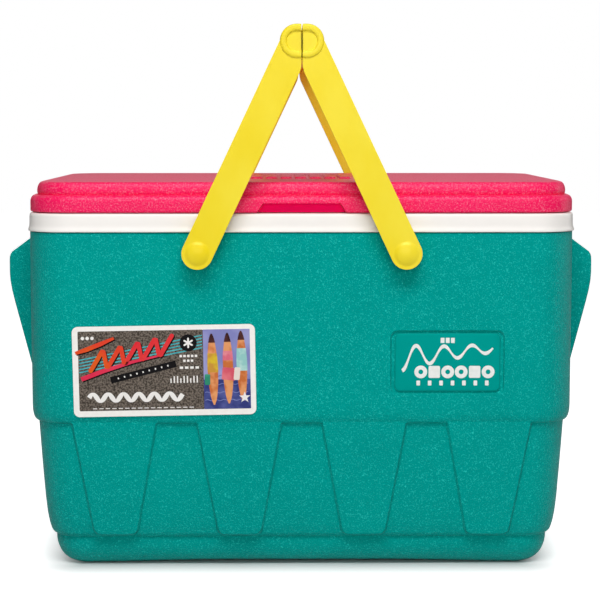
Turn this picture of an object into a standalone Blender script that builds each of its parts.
"""Hard-sided picnic cooler with a lift-off lid and two swing-over carry handles.

Metres, +Z up, +X along the length.  The origin is on the floor below the middle of the cooler.
The foamed body is a ribbed outer shell, a foam core and a white liner whose rim caps the shell.
"""
import math

import bmesh
import bpy
from mathutils import Matrix, Vector

# ---------------------------------------------------------------- driving dimensions
GAP = 0.0003            # assembly gap between touching pieces
WALL = 0.0028           # outer shell wall
SKIN = 0.0020           # liner and lid wall

HALF_X = 0.2303         # half length of the upper body
HALF_Y = 0.1463         # half depth of the upper body
CORNER = 0.034          # plan radius of the vertical corners
CORNER_MIN = 0.014      # corners never get tighter than this towards the foot

RIM_TOP = 0.3030        # the lid rests here
RIM_LIP = 0.2875        # lower edge of the white rim
LEDGE = 0.1260          # underside of the upper body
BAND = 0.0260           # top of the plain base band
LEDGE_INSET = 0.0051
BAND_INSET = 0.0184
FOOT_INSET = 0.0370
FOOT_ROUND = 0.0240     # height of the rounding at the foot
BASE_LIFT = 0.0020      # the middle of the base stands clear of the floor
FOOT_START = 0.1250     # where the two foot zones begin, along X

PANEL_XS = (-0.1580, -0.0527, 0.0527, 0.1580)
PANEL_YS = (-0.0490, 0.0490)
PANEL_TOP_HALF = 0.0357
PANEL_FOOT_HALF = 0.0175
PANEL_PROUD = 0.0030

GRIP_HALF_Y = 0.0620    # side grip, half width
GRIP_REACH = 0.2570
POCKET_HALF_Y = 0.0500

LINER_TOP = (0.2065, 0.1225)     # half length and half depth of the tub mouth
LINER_FLOOR = (0.1900, 0.1065)
FLOOR_TOP = 0.0260
TUB_CORNER = 0.0300

LID_TIER = 0.3180       # top of the lid's lower tier
LID_TOP = 0.3290
LID_INSET = 0.0003
TIER_INSET = 0.0062
PLUG_DEPTH = 0.0130     # how far the lid's pan reaches into the tub
PLUG_INSET = 0.0020
PLUG_TAPER = 0.0040
PANEL_MARGIN = 0.0080   # from the lid skin to the inner panel's edge
NOTCH_TOP_HALF = 0.0320
NOTCH_FOOT_HALF = 0.0375
NOTCH_HEIGHT = 0.0082
NOTCH_DEPTH = 0.0075
RIB_COUNT = 7
RIB_PITCH = 0.0130
RIB_SIZE = (0.0104, 0.0900, 0.0016)

PIVOT_X = 0.0865
PIVOT_Z = 0.2705
ARM_WIDTH = 0.0260
ARM_THICK = 0.0090
ARM_BACK_Y = 0.1520
APEX_Z = 0.4531         # the two arms' centrelines would meet at this height
MEET_GAP = 0.0006       # half the gap between the raised handles
BAR_CENTRE_Z = 0.4447
BAR_HALF_WIDTH = 0.0171
BAR_RADIUS = 0.01395
BAR_PROUD = 0.0015
BAR_RECESS = 0.0025
BAR_BEAD = 0.0045       # width of the raised bead round the bar's end

STUD_HEAD_R = 0.0115
STUD_SHANK_R = 0.0050
STUD_DOME = 0.0045
STUD_SEAT = 0.0030
BARREL_R = 0.0087
FLANGE_R = 0.0115
BARREL_END_Y = 0.1295

LABEL_CENTRE = (-0.1152, 0.1716)
LABEL_SIZE = (0.1530, 0.0762)
LABEL_TURN = math.radians(0.95)
LABEL_THICK = 0.0004
BADGE_CENTRE = (0.1222, 0.1782)
BADGE_SIZE = (0.0883, 0.0490)
BADGE_RECESS = (0.0949, 0.0530)
BADGE_DEPTH = 0.0018

PLUG_X = 0.0600         # foam filling holes in the base
PLUG_R = 0.0090

CORNER_STEPS = 6
ROUND_STEPS = 20


# ---------------------------------------------------------------- materials and objects
def material(name, colour, roughness, metallic=0.0):
    mat = bpy.data.materials.new(name)
    mat.use_nodes = True
    shader = mat.node_tree.nodes["Principled BSDF"]
    shader.inputs["Base Color"].default_value = (*colour, 1.0)
    shader.inputs["Roughness"].default_value = roughness
    shader.inputs["Metallic"].default_value = metallic
    mat.diffuse_color = (*colour, 1.0)
    return mat


def new_object(name, bm, mat=None, smooth=30.0):
    bmesh.ops.recalc_face_normals(bm, faces=bm.faces)
    mesh = bpy.data.meshes.new(name)
    bm.to_mesh(mesh)
    bm.free()
    mesh.shade_smooth()
    mesh.set_sharp_from_angle(angle=math.radians(smooth))
    obj = bpy.data.objects.new(name, mesh)
    bpy.context.scene.collection.objects.link(obj)
    if mat:
        mesh.materials.append(mat)
    return obj


def boolean(target, tool, operation="DIFFERENCE"):
    tool.hide_render = True
    tool.display_type = "WIRE"
    mod = target.modifiers.new(f"{operation.lower()} {tool.name}", "BOOLEAN")
    mod.operation = operation
    mod.solver = "EXACT"
    mod.object = tool


# ---------------------------------------------------------------- outlines
def rounded_outline(half_x, half_y, radius, steps=CORNER_STEPS):
    """Anticlockwise rounded rectangle, the same number of points for every size."""
    radius = min(radius, half_x, half_y)
    points = []
    for quarter, (sx, sy) in enumerate(((1, 1), (-1, 1), (-1, -1), (1, -1))):
        cx = sx * (half_x - radius)
        cy = sy * (half_y - radius)
        for step in range(steps + 1):
            angle = math.radians(90 * (quarter + step / steps))
            points.append((cx + radius * math.cos(angle), cy + radius * math.sin(angle)))
    return points


def loft(rings):
    """Closed body through rings of (z, half_x, half_y, radius), its two ends capped."""
    bm = bmesh.new()
    loops = []
    for z, half_x, half_y, radius in rings:
        loops.append([bm.verts.new((x, y, z)) for x, y in rounded_outline(half_x, half_y, radius)])
    count = len(loops[0])
    for lower, upper in zip(loops, loops[1:]):
        for i in range(count):
            j = (i + 1) % count
            bm.faces.new((lower[i], lower[j], upper[j], upper[i]))
    bm.faces.new(reversed(loops[0]))
    bm.faces.new(loops[-1])
    return bm


def prism(outline, depth_from, depth_to, axis="Y"):
    """Extrude an outline.  Axis Y takes (x, z) points, axis X (y, z) and axis Z (x, y)."""
    place = {
        "X": lambda p, d: (d, p[0], p[1]),
        "Y": lambda p, d: (p[0], d, p[1]),
        "Z": lambda p, d: (p[0], p[1], d),
    }[axis]
    bm = bmesh.new()
    near = [bm.verts.new(place(p, depth_from)) for p in outline]
    far = [bm.verts.new(place(p, depth_to)) for p in outline]
    for i in range(len(outline)):
        j = (i + 1) % len(outline)
        bm.faces.new((near[i], near[j], far[j], far[i]))
    bm.faces.new(reversed(near))
    bm.faces.new(far)
    return bm


def lathe(profile, centre, side, steps=ROUND_STEPS):
    """Turn (radius, depth) points about the Y direction through centre; depth runs along side * Y."""
    bm = bmesh.new()
    loops = []
    for radius, depth in profile:
        ring = []
        for step in range(steps):
            angle = 2 * math.pi * step / steps
            ring.append(bm.verts.new((centre[0] + radius * math.cos(angle), side * depth,
                                      centre[1] + radius * math.sin(angle))))
        loops.append(ring)
    for first, second in zip(loops, loops[1:]):
        for i in range(steps):
            j = (i + 1) % steps
            bm.faces.new((first[i], first[j], second[j], second[i]))
    bm.faces.new(loops[0])
    bm.faces.new(loops[-1])
    return bm


def arc(centre, radius, start, end, steps):
    """Points on an arc, angles in degrees."""
    points = []
    for step in range(steps + 1):
        angle = math.radians(start + (end - start) * step / steps)
        points.append((centre[0] + radius * math.cos(angle), centre[1] + radius * math.sin(angle)))
    return points


# ---------------------------------------------------------------- body shell
def inset_ring(z, inset):
    """Ring of the outer shell, set in from the upper body's outline."""
    radius = max(CORNER - 0.6 * inset, CORNER_MIN)
    return (z, HALF_X - inset, HALF_Y - inset, radius)


FLUTE = ((LEDGE, LEDGE_INSET), (0.080, 0.0081), (0.060, 0.0095), (0.045, 0.0111),
         (0.036, 0.0127), (0.030, 0.0144), (0.027, 0.0167))


def flute_inset(z):
    """Inset of the lower body between the panels, by height."""
    for (z_high, inset_high), (z_low, inset_low) in zip(FLUTE, FLUTE[1:]):
        if z >= z_low:
            part = (z_high - z) / (z_high - z_low)
            return inset_high + part * (inset_low - inset_high)
    return FLUTE[-1][1]


def shell_rings():
    """Outer surface from the foot to the top edge, then the cavity from the top edge down."""
    rings = []
    for step in range(6):
        angle = math.radians(90 * step / 5)
        rings.append(inset_ring(FOOT_ROUND * (1 - math.cos(angle)),
                                FOOT_INSET - (FOOT_INSET - BAND_INSET) * math.sin(angle)))
    rings.append(inset_ring(BAND, BAND_INSET))
    rings += [inset_ring(z, inset) for z, inset in reversed(FLUTE)]
    rings += [inset_ring(LEDGE + 0.0005, 0.0024), inset_ring(LEDGE + 0.0040, 0.0009),
              inset_ring(LEDGE + 0.0120, 0.0), inset_ring(RIM_LIP - 0.0008, 0.0)]
    rebate = 0.0030
    shell_top = RIM_TOP - 0.0040
    rings += [inset_ring(RIM_LIP - 0.0006, rebate), inset_ring(shell_top, rebate)]
    cavity = [(shell_top, rebate + WALL), (RIM_LIP - 0.0040, rebate + WALL), (RIM_LIP - 0.0080, WALL),
              (LEDGE + 0.0100, WALL), (LEDGE - 0.0030, LEDGE_INSET + WALL), (0.045, 0.0111 + WALL),
              (0.030, 0.0144 + WALL + 0.001), (0.014, BAND_INSET + WALL + 0.0015),
              (BASE_LIFT + WALL, FOOT_INSET)]
    rings += [inset_ring(z, inset) for z, inset in cavity]
    return rings


def panel_rows():
    """Rows of a raised tapered panel, from the foot up: (height, half width, how proud it stands)."""
    low = BAND + 0.0045
    high = LEDGE + 0.0010
    rows = [(BAND + 0.0006, PANEL_FOOT_HALF - 0.0040, PANEL_PROUD + 0.0014)]
    for z, proud in ((low, PANEL_PROUD + 0.0010), (0.045, PANEL_PROUD), (0.080, PANEL_PROUD), (high, PANEL_PROUD)):
        half = PANEL_FOOT_HALF + (PANEL_TOP_HALF - PANEL_FOOT_HALF) * (z - low) / (high - low)
        rows.append((z, half, proud))
    return rows


def make_panel(name, place):
    """place(across, inward, z) gives the point; inward is measured from the upper body's face."""
    bm = bmesh.new()
    rows = []
    for z, half, proud in panel_rows():
        inset = flute_inset(min(z, LEDGE))
        corners = ((-half, inset + 0.0015), (half, inset + 0.0015), (half, inset - proud), (-half, inset - proud))
        rows.append([bm.verts.new(place(across, inward, z)) for across, inward in corners])
    for lower, upper in zip(rows, rows[1:]):
        for i in range(4):
            j = (i + 1) % 4
            bm.faces.new((lower[i], lower[j], upper[j], upper[i]))
    bm.faces.new(reversed(rows[0]))
    bm.faces.new(rows[-1])
    return new_object(name, bm)


def front_place(centre, side):
    return lambda across, inward, z: (centre + across, side * (HALF_Y - inward), z)


def end_place(centre, side):
    return lambda across, inward, z: (side * (HALF_X - inward), centre + across, z)


def grip_outline():
    """Side grip in (x, z): a wedge from under the rim down to the ledge."""
    wall_x = HALF_X - 0.0015
    return [(wall_x, 0.1390), (0.2309, 0.1390), (0.2525, 0.2200), (0.2557, 0.2320), (GRIP_REACH, 0.2440),
            (GRIP_REACH, 0.2560), (0.2555, 0.2620), (0.2515, 0.2675), (0.2330, 0.2815), (wall_x, 0.2815)]


def pocket_outline():
    """Finger pocket inside the grip, open through the sloping underside."""
    return [(0.2320, 0.1200), (0.2700, 0.1200), (0.2700, 0.2080), (0.2515, 0.2160), (0.2515, 0.2480),
            (0.2480, 0.2530), (0.2360, 0.2600), (0.2320, 0.2560)]


def make_grip(side):
    word = "right" if side > 0 else "left"
    wedge = new_object(f"grip_{word}_form", prism([(side * x, z) for x, z in grip_outline()],
                                                  -GRIP_HALF_Y, GRIP_HALF_Y))
    pocket = new_object(f"grip_{word}_pocket", prism([(side * x, z) for x, z in pocket_outline()],
                                                     -POCKET_HALF_Y, POCKET_HALF_Y))
    return wedge, pocket


def badge_outline(size, radius):
    cx, cz = BADGE_CENTRE
    return [(cx + x, cz + z) for x, z in rounded_outline(size[0] / 2, size[1] / 2, radius, 4)]


def make_body_shell(mat):
    shell = new_object("body_shell", loft(shell_rings()), mat)
    for i, x in enumerate(PANEL_XS):
        boolean(shell, make_panel(f"panel_front_{i + 1}", front_place(x, -1)), "UNION")
        boolean(shell, make_panel(f"panel_rear_{i + 1}", front_place(x, 1)), "UNION")
    for i, y in enumerate(PANEL_YS):
        boolean(shell, make_panel(f"panel_left_{i + 1}", end_place(y, -1)), "UNION")
        boolean(shell, make_panel(f"panel_right_{i + 1}", end_place(y, 1)), "UNION")
    for side in (-1, 1):
        wedge, pocket = make_grip(side)
        boolean(shell, wedge, "UNION")
        boolean(shell, pocket)
    lift = [(-FOOT_START, -0.01), (FOOT_START, -0.01), (FOOT_START, 0.0), (FOOT_START - 0.012, BASE_LIFT),
            (-FOOT_START + 0.012, BASE_LIFT), (-FOOT_START, 0.0)]
    boolean(shell, new_object("base_lift_cut", prism(lift, -HALF_Y, HALF_Y)))
    recess = prism(badge_outline(BADGE_RECESS, 0.006), -HALF_Y - 0.01, -HALF_Y + BADGE_DEPTH)
    boolean(shell, new_object("badge_recess_cut", recess))
    for side in (-1, 1):
        for x in (-PIVOT_X, PIVOT_X):
            hole = lathe([(BARREL_R + GAP, HALF_Y + 0.005), (BARREL_R + GAP, HALF_Y - 0.010)],
                         (x, PIVOT_Z), side)
            boolean(shell, new_object(f"pivot_hole_{x:+.3f}_{side:+d}", hole))
        fill = prism([(side * PLUG_X + x, y) for x, y in arc((0, 0), PLUG_R + GAP, 0, 345, 23)],
                     -0.005, 0.010, "Z")
        boolean(shell, new_object(f"fill_hole_{side:+d}", fill))
    return shell


# ---------------------------------------------------------------- foam, liner and small body pieces
def liner_half(z, extra=0.0):
    """Half length and half depth of the tub's inner face at a height, grown by extra."""
    part = (z - FLOOR_TOP) / (RIM_TOP - FLOOR_TOP)
    return (LINER_FLOOR[0] + part * (LINER_TOP[0] - LINER_FLOOR[0]) + extra,
            LINER_FLOOR[1] + part * (LINER_TOP[1] - LINER_FLOOR[1]) + extra)


def liner_ring(z, extra=0.0, tuck=0.0):
    half_x, half_y = liner_half(z, extra)
    return (z, half_x - tuck, half_y - tuck, TUB_CORNER + extra)


def make_foam(mat):
    """Foam core: bucket between the shell's cavity and the liner."""
    top = RIM_TOP - 0.0045
    outer = [(BASE_LIFT + WALL, FOOT_INSET), (0.014, BAND_INSET + WALL + 0.0015), (0.030, 0.0144 + WALL + 0.001),
             (0.045, 0.0111 + WALL), (LEDGE - 0.0030, LEDGE_INSET + WALL), (LEDGE + 0.0100, WALL),
             (RIM_LIP - 0.0080, WALL), (RIM_LIP - 0.0040, 0.0030 + WALL), (top, 0.0030 + WALL)]
    rings = []
    for index, (z, inset) in enumerate(outer):
        lift = GAP if index == 0 else 0.0
        rings.append(inset_ring(z + lift, inset + 2 * GAP))
    clear = SKIN + GAP
    rings += [liner_ring(top, clear), liner_ring(FLOOR_TOP + 0.012, clear),
              liner_ring(FLOOR_TOP - SKIN + 0.004, clear, 0.004), liner_ring(FLOOR_TOP - clear, clear, 0.012)]
    foam = new_object("body_foam", loft(rings), mat)
    for side in (-1, 1):
        for x in (-PIVOT_X, PIVOT_X):
            hole = lathe([(BARREL_R + GAP, HALF_Y), (BARREL_R + GAP, 0.120)], (x, PIVOT_Z), side)
            boolean(foam, new_object(f"foam_hole_{x:+.3f}_{side:+d}", hole))
    return foam


def make_liner(mat):
    """Tub with a flat rim and a skirt that flares a little at its lower lip."""
    flare = 0.0010
    skirt_in = 0.0026
    rings = [liner_ring(FLOOR_TOP - SKIN, SKIN, 0.012), liner_ring(FLOOR_TOP - SKIN + 0.004, SKIN, 0.004),
             liner_ring(FLOOR_TOP + 0.012, SKIN), liner_ring(RIM_TOP - 0.0037, SKIN)]
    rings += [inset_ring(RIM_TOP - 0.0037, skirt_in), inset_ring(RIM_LIP, skirt_in),
              inset_ring(RIM_LIP, -0.0004 - flare), inset_ring(RIM_LIP + 0.0030, -0.0004 - 0.7 * flare),
              inset_ring(RIM_LIP + 0.0060, -0.0004), inset_ring(RIM_TOP - 0.0020, -0.0002),
              inset_ring(RIM_TOP - 0.0006, 0.0004), inset_ring(RIM_TOP, 0.0018)]
    rings += [liner_ring(RIM_TOP, 0.0015), liner_ring(RIM_TOP - 0.0015), liner_ring(FLOOR_TOP + 0.012),
              liner_ring(FLOOR_TOP + 0.004, 0.0, 0.003), liner_ring(FLOOR_TOP, 0.0, 0.012)]
    return new_object("inner_liner", loft(rings), mat)


def make_bushing(name, x, side, mat):
    """Flanged sleeve: spaces the arm off the shell and holds the stud behind a snap lip."""
    face = ARM_BACK_Y - 0.0005
    bore = STUD_SHANK_R + GAP
    profile = [(0.0005, BARREL_END_Y), (BARREL_R, BARREL_END_Y), (BARREL_R, HALF_Y + GAP),
               (FLANGE_R, HALF_Y + GAP), (FLANGE_R, face), (bore, face), (bore, 0.1370),
               (bore - 0.0008, 0.1362), (bore - 0.0008, 0.1352), (bore, 0.1344), (bore, 0.1315),
               (0.0005, 0.1315)]
    return new_object(name, lathe(profile, (x, PIVOT_Z), side), mat)


def make_label(mat):
    """Thin printed sticker, stuck on a little out of level."""
    outline = rounded_outline(LABEL_SIZE[0] / 2, LABEL_SIZE[1] / 2, 0.005, 4)
    face = -HALF_Y - GAP
    label = new_object("front_label", prism(outline, 0.0, -LABEL_THICK), mat)
    label.rotation_euler = (0.0, -LABEL_TURN, 0.0)
    label.location = (LABEL_CENTRE[0], face, LABEL_CENTRE[1])
    return label


def make_badge(mat):
    floor = -HALF_Y + BADGE_DEPTH
    return new_object("badge_plate", prism(badge_outline(BADGE_SIZE, 0.004), floor - GAP, floor - 0.0016), mat)


def make_fill_plug(name, centre, low, high, mat):
    """Round plug with a chamfered lower edge, (x, y) centre."""
    bm = bmesh.new()
    loops = []
    for radius, z in ((PLUG_R - 0.001, low), (PLUG_R, low + 0.001), (PLUG_R, high)):
        loops.append([bm.verts.new((centre[0] + x, centre[1] + y, z))
                      for x, y in arc((0, 0), radius, 0, 345, 23)])
    for lower, upper in zip(loops, loops[1:]):
        for i in range(24):
            j = (i + 1) % 24
            bm.faces.new((lower[i], lower[j], upper[j], upper[i]))
    bm.faces.new(loops[0])
    bm.faces.new(loops[-1])
    return new_object(name, bm, mat)


# ---------------------------------------------------------------- lid
def tier_ring(z, inset):
    return (z, HALF_X - inset, HALF_Y - inset, CORNER - 0.6 * inset)


def make_lid_shell(mat):
    """Two-tier lid skin with a finger notch front and rear and a row of raised ribs on top."""
    foot = RIM_TOP + GAP
    upper = LID_INSET + TIER_INSET
    skin_in = LID_INSET + SKIN
    rings = [tier_ring(LID_TOP - SKIN, upper + SKIN + 0.004), tier_ring(LID_TOP - SKIN - 0.003, upper + SKIN),
             tier_ring(LID_TIER - SKIN, upper + SKIN), tier_ring(LID_TIER - SKIN, skin_in),
             tier_ring(foot, skin_in), tier_ring(foot, LID_INSET + 0.0015),
             tier_ring(foot + 0.0020, LID_INSET + 0.0003), tier_ring(foot + 0.0045, LID_INSET),
             tier_ring(LID_TIER - 0.0035, LID_INSET), tier_ring(LID_TIER - 0.0008, LID_INSET + 0.0014),
             tier_ring(LID_TIER, LID_INSET + 0.0040), tier_ring(LID_TIER + 0.0006, upper),
             tier_ring(LID_TOP - 0.0055, upper), tier_ring(LID_TOP - 0.0016, upper + 0.0016),
             tier_ring(LID_TOP, upper + 0.0055)]
    lid = new_object("lid_top_shell", loft(rings), mat)
    for side in (-1, 1):
        face = side * (HALF_Y - LID_INSET)
        backing = [(-NOTCH_FOOT_HALF - SKIN, foot), (NOTCH_FOOT_HALF + SKIN, foot),
                   (NOTCH_TOP_HALF + SKIN, foot + NOTCH_HEIGHT + 0.002),
                   (-NOTCH_TOP_HALF - SKIN, foot + NOTCH_HEIGHT + 0.002)]
        boolean(lid, new_object(f"notch_backing_{side:+d}",
                                prism(backing, face - side * 0.001, face - side * (NOTCH_DEPTH + SKIN))), "UNION")
        notch = [(-NOTCH_FOOT_HALF, foot - 0.002), (NOTCH_FOOT_HALF, foot - 0.002),
                 (NOTCH_TOP_HALF, foot + NOTCH_HEIGHT), (-NOTCH_TOP_HALF, foot + NOTCH_HEIGHT)]
        boolean(lid, new_object(f"notch_cut_{side:+d}",
                                prism(notch, face + side * 0.01, face - side * NOTCH_DEPTH)))
    for index in range(RIB_COUNT):
        x = (index - (RIB_COUNT - 1) / 2) * RIB_PITCH
        outline = [(x + px, py) for px, py in rounded_outline(RIB_SIZE[0] / 2, RIB_SIZE[1] / 2, 0.003, 2)]
        rib = prism(outline, LID_TOP - 0.001, LID_TOP + RIB_SIZE[2], "Z")
        boolean(lid, new_object(f"lid_rib_{index + 1}", rib), "UNION")
    return lid


def plug_ring(z, inset):
    """Ring of the lid's plug, set in from the tub's mouth."""
    return (z, LINER_TOP[0] - inset, LINER_TOP[1] - inset, TUB_CORNER)


def make_lid_foam(mat):
    """Foam that fills the lid between its skin and the pan of its inner panel."""
    upper = LID_INSET + TIER_INSET + SKIN + GAP
    lower = LID_INSET + SKIN + GAP
    pan = PLUG_INSET + SKIN + GAP
    floor = RIM_TOP - PLUG_DEPTH + SKIN + GAP
    flange_top = RIM_TOP + 2 * GAP + SKIN
    rings = [plug_ring(floor, pan + PLUG_TAPER), plug_ring(floor + PLUG_TAPER, pan), plug_ring(flange_top, pan),
             tier_ring(flange_top, lower + 0.0010), tier_ring(LID_TIER - SKIN - GAP, lower),
             tier_ring(LID_TIER - SKIN - GAP, upper), tier_ring(LID_TOP - SKIN - 0.003 - GAP, upper),
             tier_ring(LID_TOP - SKIN - GAP, upper + 0.004)]
    foam = new_object("lid_foam", loft(rings), mat)
    for side in (-1, 1):
        face = side * (HALF_Y - LID_INSET)
        half = NOTCH_FOOT_HALF + SKIN + 0.001
        outline = [(-half, RIM_TOP), (half, RIM_TOP), (half, RIM_TOP + NOTCH_HEIGHT + 0.003),
                   (-half, RIM_TOP + NOTCH_HEIGHT + 0.003)]
        boolean(foam, new_object(f"foam_notch_{side:+d}",
                                 prism(outline, face, face - side * (NOTCH_DEPTH + SKIN + GAP))))
    return foam


def make_lid_panel(mat):
    """Inner panel: flat flange inside the skin and a shallow pan that plugs the tub."""
    edge = LID_INSET + SKIN + PANEL_MARGIN
    foot = RIM_TOP - PLUG_DEPTH
    flange = RIM_TOP + GAP
    pan = PLUG_INSET + SKIN
    rings = [plug_ring(foot, PLUG_INSET + PLUG_TAPER), plug_ring(foot + PLUG_TAPER, PLUG_INSET),
             plug_ring(flange, PLUG_INSET), tier_ring(flange, edge), tier_ring(flange + SKIN, edge),
             plug_ring(flange + SKIN, pan), plug_ring(foot + SKIN + PLUG_TAPER, pan),
             plug_ring(foot + SKIN, pan + PLUG_TAPER)]
    panel = new_object("lid_inner_panel", loft(rings), mat)
    hole = prism(arc((0, 0), PLUG_R + GAP, 0, 345, 23), foot - 0.005, foot + SKIN + 0.001, "Z")
    boolean(panel, new_object("lid_fill_hole", hole))
    return panel


# ---------------------------------------------------------------- handles
def arm_angle():
    """Lean of the raised arm's centreline from the vertical."""
    return math.atan2(PIVOT_X, APEX_Z - PIVOT_Z)


def arm_outline(side):
    """Arm in (x, z), from the pivot eye to the bar; side is -1 for the left handle."""
    lean = arm_angle()
    half = ARM_WIDTH / 2
    across = half / math.cos(lean)
    inner_top = APEX_Z - half / math.sin(lean) - MEET_GAP / math.tan(lean)
    outer_z = BAR_CENTRE_Z + 0.0025
    outer_x = (APEX_Z - outer_z) * math.tan(lean) + across
    lean_deg = math.degrees(lean)
    points = [(MEET_GAP, BAR_CENTRE_Z + 0.0060), (MEET_GAP, inner_top)]
    points += arc((PIVOT_X, PIVOT_Z), half, 180 + lean_deg, 360 + lean_deg, 14)
    points.append((outer_x, outer_z))
    return [(side * x, z) for x, z in points]


def bar_outline(side, shrink=0.0):
    """Half of the oval bar in (x, z); its flat side faces the other handle."""
    centre = (BAR_HALF_WIDTH - BAR_RADIUS, BAR_CENTRE_Z)
    radius = BAR_RADIUS - shrink
    points = [(MEET_GAP, BAR_CENTRE_Z + radius)] + arc(centre, radius, 90, -90, 12)
    points.append((MEET_GAP, BAR_CENTRE_Z - radius))
    return [(side * x, z) for x, z in points]


def make_handle(name, side, mat):
    """One moulding: two arms and the D-shaped bar that joins them over the lid."""
    front = ARM_BACK_Y + ARM_THICK
    handle = new_object(name, prism(bar_outline(side), -front - BAR_PROUD, front + BAR_PROUD), mat)
    for face in (-1, 1):
        arm = prism(arm_outline(side), face * ARM_BACK_Y, face * front)
        boolean(handle, new_object(f"{name}_arm_{face:+d}", arm), "UNION")
        dish = prism(bar_outline(side, BAR_BEAD), face * (front + BAR_PROUD - BAR_RECESS), face * (front + 0.01))
        boolean(handle, new_object(f"{name}_dish_{face:+d}", dish))
        eye = [(STUD_SHANK_R + GAP, ARM_BACK_Y - 0.005), (STUD_SHANK_R + GAP, front - STUD_SEAT),
               (STUD_HEAD_R + GAP, front - STUD_SEAT), (STUD_HEAD_R + GAP, front + 0.005)]
        boolean(handle, new_object(f"{name}_eye_{face:+d}", lathe(eye, (side * PIVOT_X, PIVOT_Z), face)))
    # the moulding's origin sits on its hinge line
    pivot = Vector((side * PIVOT_X, 0.0, PIVOT_Z))
    handle.data.transform(Matrix.Translation(-pivot))
    handle.location = pivot
    return handle


def make_stud(name, x, side, mat):
    """Domed pivot stud: its head sits in the arm, its shank snaps into the bushing."""
    front = ARM_BACK_Y + ARM_THICK
    seat = front - STUD_SEAT + GAP
    profile = [(0.0030, 0.1325), (0.0042, 0.1330), (STUD_SHANK_R, 0.1338), (STUD_SHANK_R - 0.0010, 0.1346),
               (STUD_SHANK_R - 0.0010, 0.1370), (STUD_SHANK_R, 0.1378), (STUD_SHANK_R, seat),
               (STUD_HEAD_R, seat), (STUD_HEAD_R, front)]
    sphere_r = (STUD_HEAD_R ** 2 + STUD_DOME ** 2) / (2 * STUD_DOME)
    for step in range(1, 6):
        radius = STUD_HEAD_R * (1 - step / 6)
        rise = math.sqrt(sphere_r ** 2 - radius ** 2) - (sphere_r - STUD_DOME)
        profile.append((radius, front + rise))
    return new_object(name, lathe(profile, (x, PIVOT_Z), side), mat)


# ---------------------------------------------------------------- assembly
def build():
    for obj in list(bpy.data.objects):
        bpy.data.objects.remove(obj, do_unlink=True)

    teal = material("teal_shell", (0.001, 0.337, 0.296), 0.45)
    white = material("white_liner", (0.93, 0.91, 0.87), 0.35)
    pink = material("pink_lid", (0.93, 0.05, 0.16), 0.45)
    yellow = material("yellow_handle", (0.92, 0.72, 0.05), 0.40)
    foam = material("foam_core", (0.85, 0.78, 0.55), 0.90)
    print_film = material("printed_label", (0.88, 0.86, 0.80), 0.50)
    badge_mat = material("badge_teal", (0.001, 0.296, 0.258), 0.35)

    make_body_shell(teal)
    make_foam(foam)
    make_liner(white)
    make_label(print_film)
    make_badge(badge_mat)
    for side, word in ((-1, "left"), (1, "right")):
        make_fill_plug(f"base_fill_plug_{word}", (side * PLUG_X, 0.0), BASE_LIFT, BASE_LIFT + WALL, white)

    make_lid_shell(pink)
    make_lid_foam(foam)
    make_lid_panel(white)
    pan_foot = RIM_TOP - PLUG_DEPTH
    make_fill_plug("lid_fill_plug", (0.0, 0.0), pan_foot, pan_foot + SKIN, white)

    for side, word in ((-1, "left"), (1, "right")):
        make_handle(f"handle_{word}", side, yellow)
        for face, face_word in ((-1, "front"), (1, "rear")):
            make_bushing(f"pivot_bushing_{face_word}_{word}", side * PIVOT_X, face, teal)
            make_stud(f"pivot_stud_{face_word}_{word}", side * PIVOT_X, face, yellow)


build()
